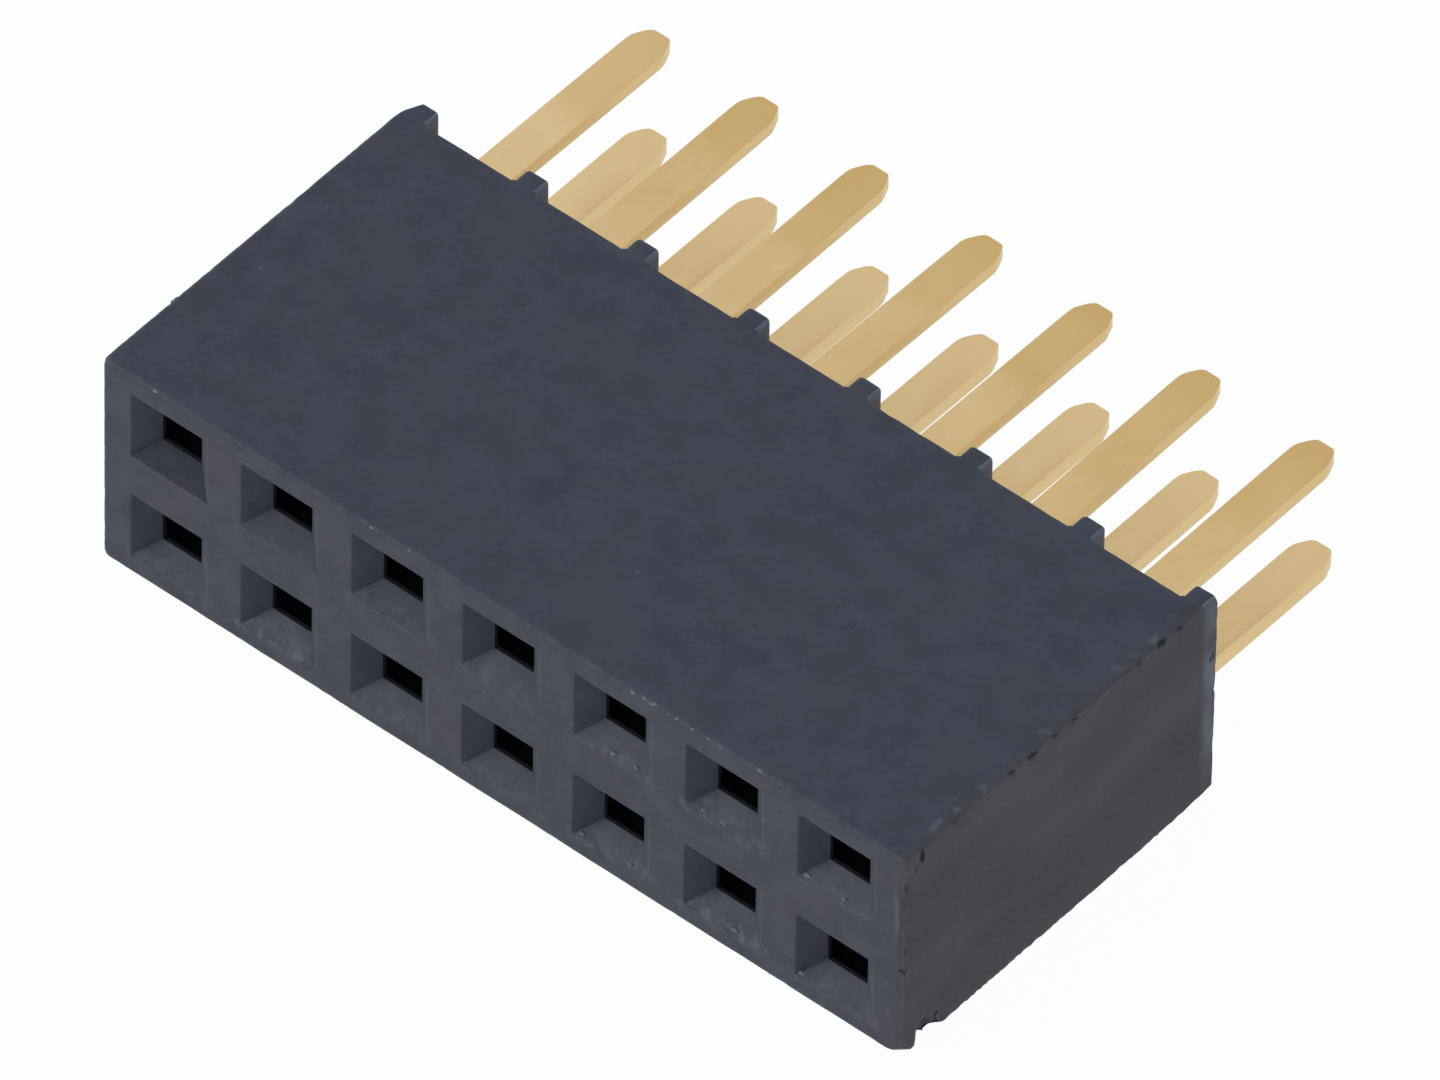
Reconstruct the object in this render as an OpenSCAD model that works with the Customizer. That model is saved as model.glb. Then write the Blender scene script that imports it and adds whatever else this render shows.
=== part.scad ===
// Dual-row socket header: a one-piece moulded housing with a grid of four-sided funnel
// sockets. Each socket holds one stamped and folded contact that grips a square pin
// between two leaves, and its flat tail stands out of the rear for soldering.
// The rows run along X, pins enter towards +Y, the tails leave towards +Y, and the
// part lies on one of its long sides at Z = 0, centred over the origin.

/* [Grid] */
// Number of contacts along each row
columns = 7; // [2:1:14]
// Number of rows
rows = 2; // [1:1:4]
// Distance between neighbouring contacts
pitch = 2.00; // [1.80:0.02:2.60]

/* [Housing] */
// Distance from the last contact axes to the end faces
end_margin = 1.22; // [1.06:0.01:1.60]
// Distance from the outer contact axes to the long sides
side_margin = 0.975; // [0.800:0.005:1.400]
// Depth from the front face to the floor of the rear bays
block_depth = 6.28; // [5.00:0.02:9.00]
// Height of the standoff ribs on the rear
rib_height = 0.33; // [0.16:0.01:0.50]
// Width of a standoff rib between two columns
rib_width = 0.40; // [0.20:0.02:0.44]
// Distance of the ribs from the middle between two columns, towards +X
rib_offset = 0.05; // [0.00:0.01:0.08]
// Rounding of the outer edges
edge_radius = 0.08; // [0.04:0.01:0.20]
// Rounding of the rear edges of the ribs
rib_edge_radius = 0.08; // [0.02:0.01:0.09]

/* [Sockets] */
// Width of the funnel mouth at the front face, along the row
mouth_width = 1.38; // [1.00:0.02:1.50]
// Height of the funnel mouth at the front face, across the row
mouth_height = 1.22; // [1.00:0.02:1.50]
// Width of the throat that a pin passes
throat_width = 0.70; // [0.60:0.02:0.90]
// Height of the throat that a pin passes
throat_height = 0.56; // [0.52:0.02:0.80]
// Depth of the funnel
funnel_depth = 0.29; // [0.20:0.01:0.60]
// Length of the straight throat behind the funnel
throat_length = 0.06; // [0.06:0.02:0.50]

/* [Contact channel] */
// Thickness of the contact sheet
sheet = 0.27; // [0.18:0.01:0.28]
// Width across the folded walls
channel_width = 1.30; // [1.20:0.02:1.40]
// Height of the folded walls
channel_height = 1.12; // [1.00:0.02:1.24]
// Length of the channel
channel_length = 1.60; // [1.20:0.10:2.20]
// Distance from the floor of the rear bays to the channel
channel_setback = 0.90; // [0.80:0.05:1.40]
// Inside radius of the folds
fold_radius = 0.05; // [0.04:0.01:0.10]
// Gap around the channel in its pocket, apart from the floor that carries it
pocket_clearance = 0.03; // [0.01:0.01:0.06]

/* [Contact barbs] */
// Bite of the barbs into the pocket walls
barb_bite = 0.07; // [0.04:0.01:0.12]
// Length of a barb along the pocket
barb_length = 0.40; // [0.20:0.05:0.60]
// Height of a barb on the wall
barb_height = 0.34; // [0.20:0.02:0.44]
// Gap between a barb and the notch it has cut, apart from its locking face
barb_clearance = 0.01; // [0.01:0.01:0.03]

/* [Contact leaves] */
// Gap between the two leaves where they grip the pin
grip_gap = 0.42; // [0.34:0.02:0.50]
// Distance from the throat to the leaf tips
leaf_setback = 0.40; // [0.30:0.05:0.80]
// Height of a leaf at its tip
leaf_tip_height = 0.40; // [0.24:0.02:0.50]
// Radius of the bend at the root of a leaf
leaf_root_radius = 0.40; // [0.30:0.05:0.80]
// Radius of the bump that touches the pin
leaf_grip_radius = 0.50; // [0.30:0.05:0.80]
// Angle at which the tips open towards the throat
flare_angle = 22; // [10:1:26]
// Straight length of an opened tip
flare_length = 0.25; // [0.10:0.05:0.30]

/* [Contact tail] */
// Width of the tail
tail_width = 0.62; // [0.40:0.02:0.80]
// Length of the tail beyond the ribs
tail_length = 3.79; // [2.00:0.01:6.00]
// Length over which the tail steps up to the socket axis
tail_step = 0.80; // [0.75:0.05:0.80]
// Radius of the two bends of that step
tail_bend_radius = 0.25; // [0.18:0.01:0.30]
// Width of the flat end of the tail
tip_width = 0.38; // [0.16:0.02:0.40]
// Length of the chamfers that lead to the flat end
tip_length = 0.28; // [0.10:0.02:0.50]

/* [Chipped edge] */
// Radius of the chip broken out of the lower edge of one end
chip_radius = 0.32; // [0.20:0.01:0.36]
// Distance of the chip's centre outside the end face
chip_offset = 0.10; // [0.05:0.01:0.15]
// Height of the chip's centre above the lower side
chip_rise = 0.05; // [0.00:0.01:0.10]
// Distance of the chip's centre from the front face
chip_from_front = 0.57; // [0.50:0.01:2.00]

/* [Hidden] */
row_letters = "abcd";
function contact_name(row, column) = str("contact_", row_letters[row], column);

housing_colour = [0.26, 0.27, 0.31];
contact_colour = [0.79, 0.69, 0.47];
$fn = 48;
// How far a cut runs past the face that it opens
overcut = 0.2;

housing_length = (columns - 1) * pitch + 2 * end_margin;
housing_width = (rows - 1) * pitch + 2 * side_margin;
housing_depth = block_depth + rib_height;
front_y = -(housing_depth + tail_length) / 2;

pocket_start = funnel_depth + throat_length;
pocket_width = channel_width + 2 * pocket_clearance;
pocket_height = channel_height + pocket_clearance;
pocket_floor = -channel_height / 2;

channel_rear = block_depth - channel_setback;
channel_front = channel_rear - channel_length;
channel_middle = (channel_front + channel_rear) / 2;
// Centre planes of the sheet in the walls and in the base, and of its folds
wall_x = (channel_width - sheet) / 2;
base_z = pocket_floor + sheet / 2;
fold_centre_radius = fold_radius + sheet / 2;
barb_rise = pocket_clearance + barb_bite;
barb_start = channel_middle - barb_length / 2;

// A leaf springs from the flat part of its wall, and is level with the socket axis
leaf_root_height = 2 * (channel_height / 2 - sheet - fold_radius);
leaf_tip_y = pocket_start + leaf_setback;
grip_shift = wall_x - (grip_gap + sheet) / 2;
grip_reach = channel_front - leaf_tip_y
    - leaf_grip_radius * sin(flare_angle) - flare_length * cos(flare_angle);
tail_end = housing_depth + tail_length;

function column_x(column) = (column - (columns + 1) / 2) * pitch;
function rib_x(k) = (k - columns / 2) * pitch + rib_offset;
function row_z(row) = side_margin + (rows - 1 - row) * pitch;

// Two opposite bends, with a straight stretch between them, shift a strip sideways:
// the straight stretch and the angle that meet a given reach and shift
function step_straight(reach, shift, radii) =
    sqrt(reach * reach + (shift - radii) * (shift - radii) - radii * radii);
function step_angle(reach, shift, radii) =
    atan2(reach, radii - shift) - atan2(step_straight(reach, shift, radii), radii);

// Rectangle about the origin with round corners
module rounded_rectangle(width, height, radius) {
    square([width - 2 * radius, height], center = true);
    square([width, height - 2 * radius], center = true);
    for (x = [-1, 1], y = [-1, 1])
        translate([x * (width / 2 - radius), y * (height / 2 - radius)])
            circle(radius);
}

// Straight stretch of the strip along +X, with what follows it at its end
module run(length) {
    translate([0, -sheet / 2])
        square([length, sheet]);
    translate([length, 0])
        children();
}

// Bend of the strip, to the left for a positive angle, with what follows it at its end
module bend(angle, radius) {
    side = sign(angle);
    reach = 2 * (radius + sheet);
    directions = [for (share = [0, 0.5, 1]) share * angle - side * 90];
    translate([0, side * radius])
        intersection() {
            difference() {
                circle(radius + sheet / 2);
                circle(radius - sheet / 2);
            }
            polygon(concat([[0, 0]], [for (a = directions) reach * [cos(a), sin(a)]]));
        }
    translate([radius * sin(abs(angle)), side * radius * (1 - cos(angle))])
        rotate(angle)
            children();
}

// Sideways step of the strip to the left, with what follows it at its end
module step(reach, shift, first_radius, second_radius) {
    radii = first_radius + second_radius;
    angle = step_angle(reach, shift, radii);
    bend(angle, first_radius)
        run(step_straight(reach, shift, radii))
            bend(-angle, second_radius)
                children();
}

// Outline from above, from the front face at Y = 0 to the rear of the ribs
module housing_plan() {
    translate([0, block_depth / 2])
        rounded_rectangle(housing_length, block_depth, edge_radius);
    for (k = [0 : columns]) {
        left = k == 0 ? -housing_length / 2 : rib_x(k) - rib_width / 2;
        right = k == columns ? housing_length / 2 : rib_x(k) + rib_width / 2;
        translate([(left + right) / 2, housing_depth - block_depth / 4])
            rounded_rectangle(right - left, block_depth / 2, rib_edge_radius);
    }
}

// Solid block with its ribs, where three rounded outlines meet
module housing_block() {
    intersection() {
        linear_extrude(housing_width)
            housing_plan();
        translate([0, housing_depth, housing_width / 2])
            rotate([90, 0, 0])
                linear_extrude(housing_depth)
                    rounded_rectangle(housing_length, housing_width, edge_radius);
        translate([-housing_length / 2, housing_depth / 2, housing_width / 2])
            rotate([90, 0, 90])
                linear_extrude(housing_length)
                    rounded_rectangle(housing_depth, housing_width, edge_radius);
    }
}

// Section of the funnel on its axis, run on past the front face
module funnel_section(mouth, throat) {
    slope = (mouth - throat) / 2 / funnel_depth;
    outer = mouth / 2 + slope * overcut;
    inner = throat / 2;
    polygon([
        [-outer, -overcut],
        [outer, -overcut],
        [inner, funnel_depth],
        [-inner, funnel_depth]
    ]);
}

// Four-sided funnel, where its section along the row meets the one across it
module funnel() {
    reach = 2 * max(mouth_width, mouth_height);
    intersection() {
        translate([0, 0, -reach / 2])
            linear_extrude(reach)
                funnel_section(mouth_width, throat_width);
        rotate([0, 90, 0])
            translate([0, 0, -reach / 2])
                linear_extrude(reach)
                    funnel_section(mouth_height, throat_height);
    }
}

// Barb as seen from above on the outside of the +X wall, with a gap round it
// everywhere but on the rear face that locks it
module barb_plan(gap) {
    polygon([
        [-sheet / 2, -gap],
        [gap, -gap],
        [barb_rise + gap, barb_length],
        [-sheet / 2, barb_length]
    ]);
}

// Both barbs of a contact, or the notches that they cut
module barbs(gap) {
    height = barb_height + 2 * gap;
    for (side = [0, 1])
        mirror([side, 0, 0])
            translate([channel_width / 2, barb_start, -height / 2])
                linear_extrude(height)
                    barb_plan(gap);
}

// Everything cut out of the housing for one contact, about the socket axis
module socket_cavity() {
    funnel();
    translate([-throat_width / 2, 0, -throat_height / 2])
        cube([throat_width, pocket_start + overcut, throat_height]);
    translate([-pocket_width / 2, pocket_start, pocket_floor])
        cube([pocket_width, housing_depth - pocket_start + overcut, pocket_height]);
    barbs(barb_clearance);
}

// Chip broken out of the lower edge of the +X end
module edge_chip() {
    translate([housing_length / 2 + chip_offset, chip_from_front, chip_rise])
        sphere(chip_radius);
}

module housing() {
    color(housing_colour)
        translate([0, front_y, 0])
            difference() {
                housing_block();
                for (r = [0 : rows - 1], c = [1 : columns])
                    translate([column_x(c), 0, row_z(r)])
                        socket_cavity();
                edge_chip();
            }
}

// Channel folded from the sheet: one wall, the base and the other wall
module channel() {
    wall_straight = channel_height - sheet / 2 - fold_centre_radius;
    base_straight = 2 * (wall_x - fold_centre_radius);
    translate([0, channel_rear, 0])
        rotate([90, 0, 0])
            linear_extrude(channel_length)
                translate([wall_x, -pocket_floor])
                    rotate(-90)
                        run(wall_straight)
                            bend(-90, fold_centre_radius)
                                run(base_straight)
                                    bend(-90, fold_centre_radius)
                                        run(wall_straight);
}

// Leaf of the +X side: it closes in on the pin, bulges and opens again at its tip
module leaf() {
    root_y = channel_middle;
    intersection() {
        translate([wall_x, root_y, -leaf_root_height / 2])
            linear_extrude(leaf_root_height)
                mirror([1, 0])
                    rotate(-90)
                        run(root_y - channel_front)
                            step(grip_reach, grip_shift, leaf_root_radius, leaf_grip_radius)
                                bend(-flare_angle, leaf_grip_radius)
                                    run(flare_length);
        rotate([90, 0, 90])
            linear_extrude(channel_width)
                polygon([
                    [root_y, -leaf_root_height / 2],
                    [root_y, leaf_root_height / 2],
                    [channel_front, leaf_root_height / 2],
                    [leaf_tip_y - sheet, leaf_tip_height / 2],
                    [leaf_tip_y - sheet, -leaf_tip_height / 2],
                    [channel_front, -leaf_root_height / 2]
                ]);
    }
}

// Tail: it runs on from the base, steps up to the socket axis and ends in a chamfered tip
module tail() {
    root_y = channel_middle;
    straight = tail_end - channel_rear - tail_step;
    intersection() {
        translate([-tail_width / 2, root_y, base_z])
            rotate([90, 0, 90])
                linear_extrude(tail_width)
                    run(channel_rear - root_y)
                        step(tail_step, -base_z, tail_bend_radius, tail_bend_radius)
                            run(straight);
        translate([0, 0, -channel_height])
            linear_extrude(2 * channel_height)
                polygon([
                    [-tail_width / 2, root_y],
                    [tail_width / 2, root_y],
                    [tail_width / 2, tail_end - tip_length],
                    [tip_width / 2, tail_end],
                    [-tip_width / 2, tail_end],
                    [-tail_width / 2, tail_end - tip_length]
                ]);
    }
}

// One contact about its socket axis, from the leaf tips to the end of the tail
module contact() {
    color(contact_colour) {
        channel();
        barbs(0);
        leaf();
        mirror([1, 0, 0])
            leaf();
        tail();
    }
}

housing();
for (r = [0 : rows - 1], c = [1 : columns])
    translate([column_x(c), front_y, row_z(r)])
            contact();
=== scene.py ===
import bpy
import numpy as np
from mathutils import Matrix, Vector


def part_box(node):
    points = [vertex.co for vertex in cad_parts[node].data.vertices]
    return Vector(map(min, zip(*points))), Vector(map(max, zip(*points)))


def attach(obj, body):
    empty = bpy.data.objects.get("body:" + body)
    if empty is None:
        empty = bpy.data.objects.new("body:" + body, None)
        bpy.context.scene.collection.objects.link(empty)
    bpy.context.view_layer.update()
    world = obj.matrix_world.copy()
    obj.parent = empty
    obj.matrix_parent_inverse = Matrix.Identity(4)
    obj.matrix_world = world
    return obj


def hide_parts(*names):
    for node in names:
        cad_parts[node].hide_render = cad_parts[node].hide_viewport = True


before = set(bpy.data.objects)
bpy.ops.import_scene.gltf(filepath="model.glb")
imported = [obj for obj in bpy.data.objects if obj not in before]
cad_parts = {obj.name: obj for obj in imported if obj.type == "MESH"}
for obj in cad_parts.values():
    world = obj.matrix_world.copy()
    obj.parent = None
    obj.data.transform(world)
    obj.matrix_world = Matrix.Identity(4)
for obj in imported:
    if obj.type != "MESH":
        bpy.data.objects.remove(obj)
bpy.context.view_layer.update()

# Housing: one block moulded from dark heat-proof plastic, with a funnel, a throat and a pocket
# for each contact and eight standoff ribs across its rear. One end was cut from a longer strip,
# which left nicks, pale torn flakes and one large chip along its edges.
MM = 0.001
PITCH = 2.0
housing_low, housing_high = (np.round(np.array(corner) / MM, 4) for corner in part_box("housing"))
FRONT = housing_low[1]
LENGTH, DEPTH, WIDTH = np.round(housing_high - housing_low, 4)
END_X = LENGTH / 2
COLUMNS = np.arange(-3, 4)
COLUMN_X = PITCH * COLUMNS
ROW_Z = WIDTH / 2 + PITCH * np.array([0.5, -0.5])
RIB_OFFSET = 0.05
RIB_X = PITCH * (np.arange(COLUMNS[0], COLUMNS[-1] + 2) - 0.5) + RIB_OFFSET
RIB_HEIGHT, RIB_HALF, RIB_ROOT = 0.33, 0.20, 0.02
BAY = round(DEPTH - RIB_HEIGHT, 4)
MOUTH_X, MOUTH_Z = 0.69, 0.61
THROAT_X, THROAT_Z = 0.35, 0.28
FUNNEL_DEPTH, POCKET_START = 0.29, 0.35
POCKET_X, POCKET_FLOOR, POCKET_CEILING = 0.68, -0.56, 0.59
EDGE_RADIUS, BAY_EDGE_RADIUS = 0.08, 0.04
LIP_RADIUS, THROAT_RADIUS = 0.05, 0.03
FAR = 1000.0
TINY = 1e-6

# How far from its axis a socket spreads the mesh lines of the front face
SPREAD_X, SPREAD_Z = 1.0, 0.86

# Points on each of the two arcs down a funnel wall
ARC_POINTS = 5

# Shares of an edge radius at which mesh lines turn a round edge in even steps
FAN = 1 - np.tan(np.radians([45, 30, 15, 0]))

# Filler lines of the mesh: where the fine ones near the cut end and the plain end start and how far
# apart they are, those beside a socket axis and up a rib, and the even ones over depth and height
CUT_END_START, CUT_END_STEP = 6.84, 0.03
PLAIN_END_START, PLAIN_END_STEP = 6.80, 0.04
BESIDE_SOCKET = np.array([-0.52, -0.175, 0.175, 0.52])
UP_RIB = np.array([0.03, 0.10, 0.17])
FILL_START, FILL_STOP, FILL_APART = 0.12, 0.1, 0.02
DEPTH_STEP, HEIGHT_STEP = 0.045, 0.075


def mesh_lines(features, fillers, apart=0.012):
    """All the feature lines, and the filler lines that keep their distance from them, sorted."""
    features = np.unique(np.round(np.concatenate(features), 4))
    gap = np.abs(np.asarray(fillers)[:, None] - features).min(axis=1)
    return np.sort(np.concatenate([features, np.asarray(fillers)[gap > apart]]))


def shell(solid):
    """Skin of a block of cells: the face between each solid cell and an empty neighbour, wound
    to point out of the solid. Gives the lattice indices of the skin's corners, and its quads."""
    filled = np.pad(solid, 1).astype(np.int8)
    ring = np.array([(0, 0, 0), (0, 1, 0), (0, 1, 1), (0, 0, 1)])
    faces = []
    for axis in range(3):
        order = [axis, (axis + 1) % 3, (axis + 2) % 3]
        jump = np.diff(filled.transpose(order)[:, 1:-1, 1:-1], axis=0)
        for sign, corners in ((-1, ring), (1, ring[::-1])):
            cells = np.argwhere(jump == sign)
            faces.append(np.roll(cells[:, None] + corners, axis, axis=2))
    lattice = np.array(solid.shape) + 1
    keys = np.ravel_multi_index(np.concatenate(faces).reshape(-1, 3).T, lattice)
    used, quads = np.unique(keys, return_inverse=True)
    return np.stack(np.unravel_index(used, lattice), axis=1), quads.reshape(-1, 4)


def rounded(points, low, high, radius):
    """Points of a box moved onto the same box with round edges: each is drawn back into a core
    one radius smaller, and set one radius out from there."""
    core = np.clip(points, low + radius, high - radius)
    out = points - core
    reach = np.linalg.norm(out, axis=1, keepdims=True)
    return core + radius * out / np.maximum(reach, TINY)


def funnel_profile(mouth, throat):
    """Depths and half-widths down one wall of a funnel: an arc over the lip at the face, then
    straight to an arc over the edge of the throat."""
    lean = np.arctan2(FUNNEL_DEPTH, mouth - throat)
    lip = np.linspace(0, lean, ARC_POINTS)
    turn = np.linspace(np.pi / 2 - lean, 0, ARC_POINTS)
    start = THROAT_RADIUS * np.tan(turn[0] / 2)
    depth = [LIP_RADIUS * (1 - np.cos(lip)), FUNNEL_DEPTH + start - THROAT_RADIUS * np.sin(turn)]
    half = [mouth + LIP_RADIUS * (np.tan(lean / 2) - np.sin(lip)),
            throat + THROAT_RADIUS * (1 - np.cos(turn))]
    return np.concatenate(depth), np.concatenate(half)


def spread(offset, half, throat, reach):
    """Offset from a socket axis carried out with the funnel: up to the throat line it grows with
    the funnel's half-width, and from there to the reach it is squeezed to fit."""
    size = np.abs(offset)
    squeezed = half + (size - throat) * (reach - half) / (reach - throat)
    moved = np.where(size <= throat, size * half / throat, squeezed)
    return np.sign(offset) * np.where(size < reach, moved, size)


def nearest_column(x):
    """Number of the column of sockets nearest to each point, counted from the middle one."""
    return np.clip(np.round(x / PITCH), COLUMNS[0], COLUMNS[-1])


def socket_offsets(x, z):
    """How far points lie from the axis of their nearest socket, along the rows and upwards."""
    return x - nearest_column(x) * PITCH, z - np.where(z > WIDTH / 2, ROW_Z[0], ROW_Z[1])


def opened(points):
    """Lattice points near the front face spread round the sockets, so that the throat lines
    follow the funnel walls."""
    x, y, z = points.T
    off_x, off_z = socket_offsets(x, z)
    half_x = np.interp(y, *funnel_profile(MOUTH_X, THROAT_X))
    half_z = np.interp(y, *funnel_profile(MOUTH_Z, THROAT_Z))
    return np.stack([x - off_x + spread(off_x, half_x, THROAT_X, SPREAD_X), y,
                     z - off_z + spread(off_z, half_z, THROAT_Z, SPREAD_Z)], axis=1)


WAVES, WAVE_SPREAD = 16, (0.6, 1.6)


def ripple(points, length, seed):
    """Smooth random field of about unit size: the sum of plane waves of roughly one wavelength,
    with random directions and phases, over the root of half their number."""
    rng = np.random.default_rng(seed)
    waves = rng.normal(size=(WAVES, 3))
    size = np.linalg.norm(waves, axis=1)[:, None]
    waves *= 2 * np.pi / length * rng.uniform(*WAVE_SPREAD, (WAVES, 1)) / size
    phases = rng.uniform(0, 2 * np.pi, WAVES)
    return np.sin(points @ waves.T + phases).sum(axis=1) / np.sqrt(WAVES / 2)


GOUGE_RIPPLE = 1.2


def scooped(points, centre, radii, roughness, seed):
    """Points inside a rough ellipsoid carried straight out from its centre to its surface, as if
    it had been gouged out. The roughness ripples at a multiple of its least radius."""
    offset = (points - centre) / radii
    size = np.linalg.norm(offset, axis=1, keepdims=True)
    surface = 1 + roughness * ripple(points, GOUGE_RIPPLE * min(radii), seed)[:, None]
    gouged = centre + offset * radii * surface / np.maximum(size, TINY)
    return np.where(size < surface, gouged, points)


def bevelled(points, corner, cuts):
    """Points beyond a plane across a corner laid onto that plane, which meets the three edges at
    the given signed distances from the corner."""
    slope = 1 / np.array(cuts)
    normal = slope / np.linalg.norm(slope)
    short = 1 / np.linalg.norm(slope) - (points - corner) @ normal
    return points + np.maximum(short, 0)[:, None] * normal


xs = mesh_lines(
    [END_X - EDGE_RADIUS * FAN, EDGE_RADIUS * FAN - END_X]
    + [x + side * (RIB_HALF + np.append(RIB_ROOT, -EDGE_RADIUS * FAN))
       for x in RIB_X for side in (-1, 1) if abs(x + side) < END_X]
    + [x + np.array([-POCKET_X, -THROAT_X, 0, THROAT_X, POCKET_X]) for x in COLUMN_X],
    np.concatenate([np.arange(CUT_END_START, END_X, CUT_END_STEP),
                    -np.arange(PLAIN_END_START, END_X, PLAIN_END_STEP)]
                   + [x + BESIDE_SOCKET for x in COLUMN_X]))
ys = mesh_lines(
    [EDGE_RADIUS * FAN, BAY - BAY_EDGE_RADIUS * FAN, BAY + UP_RIB, DEPTH - EDGE_RADIUS * FAN],
    np.arange(FILL_START, BAY, DEPTH_STEP), FILL_APART)
zs = mesh_lines(
    [EDGE_RADIUS * FAN, WIDTH - EDGE_RADIUS * FAN, [BAY_EDGE_RADIUS, WIDTH - BAY_EDGE_RADIUS]]
    + [z + np.array([POCKET_FLOOR, -THROAT_Z, 0, THROAT_Z, POCKET_CEILING]) for z in ROW_Z],
    np.arange(FILL_START, WIDTH - FILL_STOP, HEIGHT_STEP), FILL_APART)


def socket_cells(depths):
    """Which cells between the mesh lines are throat or pocket, and which lie between the ribs."""
    x, y, z = np.meshgrid(*[(line[1:] + line[:-1]) / 2 for line in (xs, depths, zs)], indexing="ij")
    off_x, off_z = socket_offsets(x, z)
    throat = (np.abs(off_x) < THROAT_X) & (np.abs(off_z) < THROAT_Z) & (y < POCKET_START)
    pocket = (np.abs(off_x) < POCKET_X) & (off_z > POCKET_FLOOR) & (off_z < POCKET_CEILING)
    rib_gap = np.abs(x[:, :1, :1] - RIB_X).min(axis=2, keepdims=True)
    bay = (rib_gap > RIB_HALF) & (x > RIB_X[0]) & (x < RIB_X[-1]) & (y > BAY)
    return throat | (pocket & (y > POCKET_START)), bay


# Outside of the block, on fine lines
air, bay = socket_cells(ys)
corners, quads = shell(~(air | bay))
plain = np.stack([xs[corners[:, 0]], ys[corners[:, 1]], zs[corners[:, 2]]], axis=1)
x, y, z = plain[quads].mean(axis=1).T
outside = (np.abs(x) > END_X - TINY) | (y < TINY) | (y > BAY - TINY) | (z < TINY) | (z > WIDTH - TINY)
used, outer_quads = np.unique(quads[outside], return_inverse=True)
outer_quads = outer_quads.reshape(-1, 4)
plain = plain[used]
outer = opened(plain)

# Round edges: on the block, on each rib, and on the rear edges of the bays. Of the edges of the
# cut end only the lower one is round.
x, y, z = plain.T
box_low, box_high = np.array([-END_X, 0, 0]), np.array([END_X, DEPTH, WIDTH])
on_block = (np.abs(x) > END_X - TINY) | (y < TINY) | (z < TINY) | (z > WIDTH - TINY)
on_block &= y <= BAY + TINY
outer[on_block] = rounded(outer[on_block], box_low, np.array([FAR, FAR, WIDTH]), EDGE_RADIUS)
rib_x = RIB_X[np.abs(x[:, None] - RIB_X).argmin(axis=1)]
rib_left = np.where(rib_x == RIB_X[0], -END_X, rib_x - RIB_HALF)
rib_right = np.where(rib_x == RIB_X[-1], FAR, rib_x + RIB_HALF)
rib_low = np.stack([rib_left, 0 * x - FAR, 0 * x], axis=1)
rib_high = np.stack([rib_right, 0 * x + DEPTH, 0 * x + WIDTH], axis=1)
on_rib = y > BAY + TINY
outer[on_rib] = rounded(outer[on_rib], rib_low[on_rib], rib_high[on_rib], EDGE_RADIUS)
by_floor = (z < EDGE_RADIUS + TINY) & (x > END_X - EDGE_RADIUS - TINY)
outer[by_floor] = rounded(outer[by_floor], np.array([-FAR, -FAR, 0]), np.array([END_X, FAR, FAR]),
                          EDGE_RADIUS)
in_bay = (np.abs(x - rib_x) > RIB_HALF + TINY) & (x > RIB_X[0]) & (x < RIB_X[-1])
by_side = np.minimum(z, WIDTH - z)
on_brow = in_bay & (((y > BAY - BAY_EDGE_RADIUS - TINY) & (by_side < TINY))
                    | ((y > BAY - TINY) & (by_side < BAY_EDGE_RADIUS + TINY)))
outer[on_brow] = rounded(outer[on_brow], np.array([-FAR, -FAR, 0]), np.array([FAR, BAY, WIDTH]),
                         BAY_EDGE_RADIUS)

# Wear: how near a point is to an edge of the block and to the cut end, and how far the edges are
# rubbed in towards the core, which is most along the lower edge of the cut end
EDGE_REACH = 0.07
CUT_START, CUT_FADE = 0.35, 0.25
CORE_GAP = 0.4
RUBBED, CUT_RUBBED, LOW_RUBBED, LOW_REACH = 0.004, 0.004, 0.012, 0.2
WEAR_RIPPLE, WEAR_SEED = 0.3, 1
edge_gaps = np.stack([END_X - np.abs(x), np.minimum(y, np.where(in_bay, BAY, DEPTH) - y), by_side])
edge = np.exp(-(np.sort(edge_gaps, axis=0)[1] / EDGE_REACH) ** 2)
cut = np.clip((x - END_X + CUT_START) / CUT_FADE, 0, 1)
core_high = np.array([END_X - CORE_GAP, BAY - CORE_GAP, WIDTH - CORE_GAP])
inward = np.clip(outer, box_low + CORE_GAP, core_high) - outer
inward /= np.maximum(np.linalg.norm(inward, axis=1, keepdims=True), TINY)
rough = RUBBED + cut * (CUT_RUBBED + LOW_RUBBED * np.exp(-(z / LOW_REACH) ** 2))
wear = edge * rough * np.abs(ripple(outer, WEAR_RIPPLE, WEAR_SEED))
outer += inward * wear[:, None]

# Worn corners: corner, distances along the three edges at which it is worn off
BEVELS = [
    ((-END_X, DEPTH, WIDTH), (0.14, -0.55, -0.30)),
    ((-END_X, DEPTH, WIDTH), (0.20, -0.44, -0.50)),
    ((-END_X, 0, WIDTH), (0.16, 0.16, -0.16)),
    ((-END_X, 0, 0), (0.16, 0.16, 0.16)),
    ((END_X, 0, 0), (-0.29, 0.27, 0.25)),
    ((END_X, DEPTH, 0), (-0.20, -1.60, 0.14)),
    ((END_X, DEPTH, WIDTH), (-0.12, -0.12, -0.12)),
]
for corner, cuts in BEVELS:
    outer = bevelled(outer, np.array(corner), cuts)

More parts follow.
